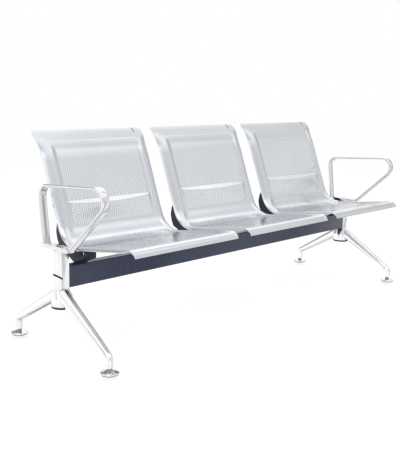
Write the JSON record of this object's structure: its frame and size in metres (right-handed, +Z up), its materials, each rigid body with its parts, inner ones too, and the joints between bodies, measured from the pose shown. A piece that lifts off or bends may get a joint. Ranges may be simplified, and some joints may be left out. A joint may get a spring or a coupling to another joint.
{
  "type": "beam seating",
  "caption": "Waiting-room bench: curved perforated steel seats on a dark box-section beam, with polished splayed legs on levelling feet and looped end armrests.",
  "frame": {"origin": "middle of the footprint, on the floor", "axes": "+X along the beam, -Y the way the seats face, +Z up"},
  "size_m": [1.872, 0.6379, 0.7798],
  "materials": {
    "seat_steel": "satin perforated sheet with polished rolled edges",
    "polished_metal": "polished",
    "foot_chrome": "bright",
    "beam_paint": "satin powder coat, dark blue-grey",
    "black_steel": "satin powder coat, black",
    "black_plastic": "matt moulded",
    "zinc": "zinc plated"
  },
  "bodies": {
    "frame": {"beam": "beam_paint", "beam_end_plate_L": "beam_paint", "beam_end_bolts_L": "zinc", "column_L": "polished_metal", "leg_trim_L": "black_plastic", "column_top_plate_L": "zinc", "hub_L": "polished_metal", "hub_plug_L": "black_plastic", "front_leg_L": "polished_metal", "rear_leg_L": "polished_metal", "arm_loop_L": "polished_metal", "arm_base_L": "polished_metal", "arm_bolts_L": "zinc", "front_foot_L_locknut": "zinc", "rear_foot_L_locknut": "zinc", "beam_end_plate_R": "beam_paint", "beam_end_bolts_R": "zinc", "column_R": "polished_metal", "leg_trim_R": "black_plastic", "column_top_plate_R": "zinc", "hub_R": "polished_metal", "hub_plug_R": "black_plastic", "front_leg_R": "polished_metal", "rear_leg_R": "polished_metal", "arm_loop_R": "polished_metal", "arm_base_R": "polished_metal", "arm_bolts_R": "zinc", "front_foot_R_locknut": "zinc", "rear_foot_R_locknut": "zinc", "seat_shell_1": "seat_steel", "bracket_bolts_1": "zinc", "seat_studs_1": "zinc", "seat_bracket_1L": "black_steel", "seat_bracket_1R": "black_steel", "seat_shell_2": "seat_steel", "bracket_bolts_2": "zinc", "seat_studs_2": "zinc", "seat_bracket_2L": "black_steel", "seat_bracket_2R": "black_steel", "seat_shell_3": "seat_steel", "bracket_bolts_3": "zinc", "seat_studs_3": "zinc", "seat_bracket_3L": "black_steel", "seat_bracket_3R": "black_steel"},
    "front_left_foot": {"front_foot_L_pad": "foot_chrome", "front_foot_L_base": "black_plastic"},
    "front_left_stud": {"front_foot_L_stud": "zinc"},
    "rear_left_foot": {"rear_foot_L_pad": "foot_chrome", "rear_foot_L_base": "black_plastic"},
    "rear_left_stud": {"rear_foot_L_stud": "zinc"},
    "front_right_foot": {"front_foot_R_pad": "foot_chrome", "front_foot_R_base": "black_plastic"},
    "front_right_stud": {"front_foot_R_stud": "zinc"},
    "rear_right_foot": {"rear_foot_R_pad": "foot_chrome", "rear_foot_R_base": "black_plastic"},
    "rear_right_stud": {"rear_foot_R_stud": "zinc"}
  },
  "joints": [
    {"name": "front_left_foot_height", "type": "slide", "parent": "frame", "child": "front_left_foot", "axis": [0, 0, -1], "range_m": [0, 0.015]},
    {"name": "front_left_stud_turn", "type": "hinge", "parent": "front_left_foot", "child": "front_left_stud", "pos_m": [-0.903, -0.263, 0.03], "axis": [0, 0, -1], "range_deg": [0, 3600]},
    {"name": "rear_left_foot_height", "type": "slide", "parent": "frame", "child": "rear_left_foot", "axis": [0, 0, -1], "range_m": [0, 0.015]},
    {"name": "rear_left_stud_turn", "type": "hinge", "parent": "rear_left_foot", "child": "rear_left_stud", "pos_m": [-0.903, 0.286, 0.03], "axis": [0, 0, -1], "range_deg": [0, 3600]},
    {"name": "front_right_foot_height", "type": "slide", "parent": "frame", "child": "front_right_foot", "axis": [0, 0, -1], "range_m": [0, 0.015]},
    {"name": "front_right_stud_turn", "type": "hinge", "parent": "front_right_foot", "child": "front_right_stud", "pos_m": [0.903, -0.263, 0.03], "axis": [0, 0, -1], "range_deg": [0, 3600]},
    {"name": "rear_right_foot_height", "type": "slide", "parent": "frame", "child": "rear_right_foot", "axis": [0, 0, -1], "range_m": [0, 0.015]},
    {"name": "rear_right_stud_turn", "type": "hinge", "parent": "rear_right_foot", "child": "rear_right_stud", "pos_m": [0.903, 0.286, 0.03], "axis": [0, 0, -1], "range_deg": [0, 3600]}
  ],
  "couplings": [
    {"joint": "front_left_stud_turn", "follows": "front_left_foot_height", "rad_per_m": 4188.8},
    {"joint": "rear_left_stud_turn", "follows": "rear_left_foot_height", "rad_per_m": 4188.8},
    {"joint": "front_right_stud_turn", "follows": "front_right_foot_height", "rad_per_m": 4188.8},
    {"joint": "rear_right_stud_turn", "follows": "rear_right_foot_height", "rad_per_m": 4188.8}
  ]
}
